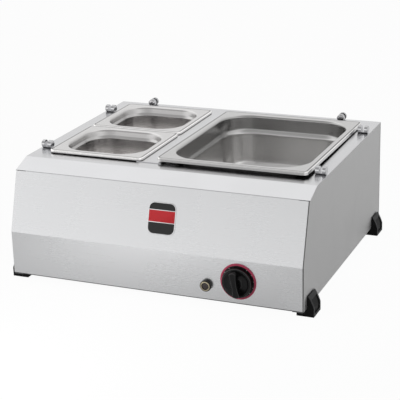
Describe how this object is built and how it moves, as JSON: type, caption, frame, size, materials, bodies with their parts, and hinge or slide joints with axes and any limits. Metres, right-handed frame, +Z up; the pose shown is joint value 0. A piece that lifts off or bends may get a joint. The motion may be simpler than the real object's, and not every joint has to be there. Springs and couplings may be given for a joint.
{
  "type": "sausage warmer",
  "caption": "Counter-top wet-bath sausage warmer in satin stainless steel with a slanted front, lift-out food pans, a thermostat knob, a pilot lamp and black feet",
  "frame": {"origin": "on the table under the centre of the casing, which is the centre of the whole object's footprint", "axes": "+X to the right along the front, +Y from the controls to the rear, +Z up"},
  "size_m": [0.546, 0.502, 0.2165],
  "materials": {
    "casing_steel": "satin",
    "pan_steel": "polished",
    "tank_steel": "satin",
    "knob_plastic": "semi gloss",
    "ring_plastic": "gloss",
    "foot_plastic": "matte",
    "clamp_chrome": "polished",
    "grub_steel": "oiled",
    "lamp_sleeve": "semi gloss",
    "lamp_chrome": "polished",
    "lamp_lens": "gloss",
    "badge_enamel": "gloss",
    "element_steel": "satin",
    "brass": "satin",
    "zinc": "satin",
    "moulded_plastic": "matte",
    "lead_insulation": "matte"
  },
  "bodies": {
    "casing": {"top_deck": "casing_steel", "front_panel": "casing_steel", "left_side_panel": "casing_steel", "right_side_panel": "casing_steel", "rear_panel": "casing_steel", "base_plate": "casing_steel", "pan_support_bar": "pan_steel", "water_tank": "tank_steel", "knob_ring": "ring_plastic", "foot_front_left": "foot_plastic", "foot_front_right": "foot_plastic", "foot_rear_left": "foot_plastic", "foot_rear_right": "foot_plastic", "glass_clamp_left_front": "clamp_chrome", "glass_clamp_left_rear": "clamp_chrome", "glass_clamp_right_front": "clamp_chrome", "glass_clamp_right_rear": "clamp_chrome", "glass_clamp_back_left": "clamp_chrome", "glass_clamp_back_right": "clamp_chrome", "lamp_sleeve": "lamp_sleeve", "lamp_ring": "lamp_chrome", "lamp_lens": "lamp_lens", "badge_plate": "badge_enamel", "heating_element": "element_steel", "element_glands": "brass", "capillary_tube": "brass", "sensor_bulb": "brass", "bulb_clip": "zinc", "thermostat_screws": "zinc", "rear_panel_screws": "zinc", "base_screws": "zinc", "foot_screws": "zinc", "clamp_fixing_screws": "zinc", "lamp_nut": "zinc", "thermostat_body": "moulded_plastic", "lamp_body": "moulded_plastic", "terminal_block": "moulded_plastic", "cable_gland": "moulded_plastic", "gland_lock_nut": "moulded_plastic", "internal_leads": "lead_insulation"},
    "large_pan": {"large_pan": "pan_steel"},
    "small_pan_front": {"small_pan_front": "pan_steel"},
    "small_pan_rear": {"small_pan_rear": "pan_steel"},
    "control_knob": {"thermostat_knob": "knob_plastic", "thermostat_shaft": "zinc"},
    "clamp_screw_left_front": {"clamp_screw_left_front": "grub_steel"},
    "clamp_screw_left_rear": {"clamp_screw_left_rear": "grub_steel"},
    "clamp_screw_right_front": {"clamp_screw_right_front": "grub_steel"},
    "clamp_screw_right_rear": {"clamp_screw_right_rear": "grub_steel"},
    "clamp_screw_back_left": {"clamp_screw_back_left": "grub_steel"},
    "clamp_screw_back_right": {"clamp_screw_back_right": "grub_steel"}
  },
  "joints": [
    {"name": "large_pan_lift", "type": "slide", "parent": "casing", "child": "large_pan", "axis": [0, 0, 1], "range_m": [0, 0.13]},
    {"name": "small_pan_front_lift", "type": "slide", "parent": "casing", "child": "small_pan_front", "axis": [0, 0, 1], "range_m": [0, 0.13]},
    {"name": "small_pan_rear_lift", "type": "slide", "parent": "casing", "child": "small_pan_rear", "axis": [0, 0, 1], "range_m": [0, 0.13]},
    {"name": "knob_turn", "type": "hinge", "parent": "casing", "child": "control_knob", "pos_m": [0.1524, -0.228, 0.0526], "axis": [0, 1, 0], "range_deg": [0, 270]},
    {"name": "clamp_screw_left_front_advance", "type": "slide", "parent": "casing", "child": "clamp_screw_left_front", "axis": [-1, 0, 0], "range_m": [0, 0.002]},
    {"name": "clamp_screw_left_rear_advance", "type": "slide", "parent": "casing", "child": "clamp_screw_left_rear", "axis": [-1, 0, 0], "range_m": [0, 0.002]},
    {"name": "clamp_screw_right_front_advance", "type": "slide", "parent": "casing", "child": "clamp_screw_right_front", "axis": [1, 0, 0], "range_m": [0, 0.002]},
    {"name": "clamp_screw_right_rear_advance", "type": "slide", "parent": "casing", "child": "clamp_screw_right_rear", "axis": [1, 0, 0], "range_m": [0, 0.002]},
    {"name": "clamp_screw_back_left_advance", "type": "slide", "parent": "casing", "child": "clamp_screw_back_left", "axis": [0, 1, 0], "range_m": [0, 0.002]},
    {"name": "clamp_screw_back_right_advance", "type": "slide", "parent": "casing", "child": "clamp_screw_back_right", "axis": [0, 1, 0], "range_m": [0, 0.002]}
  ]
}
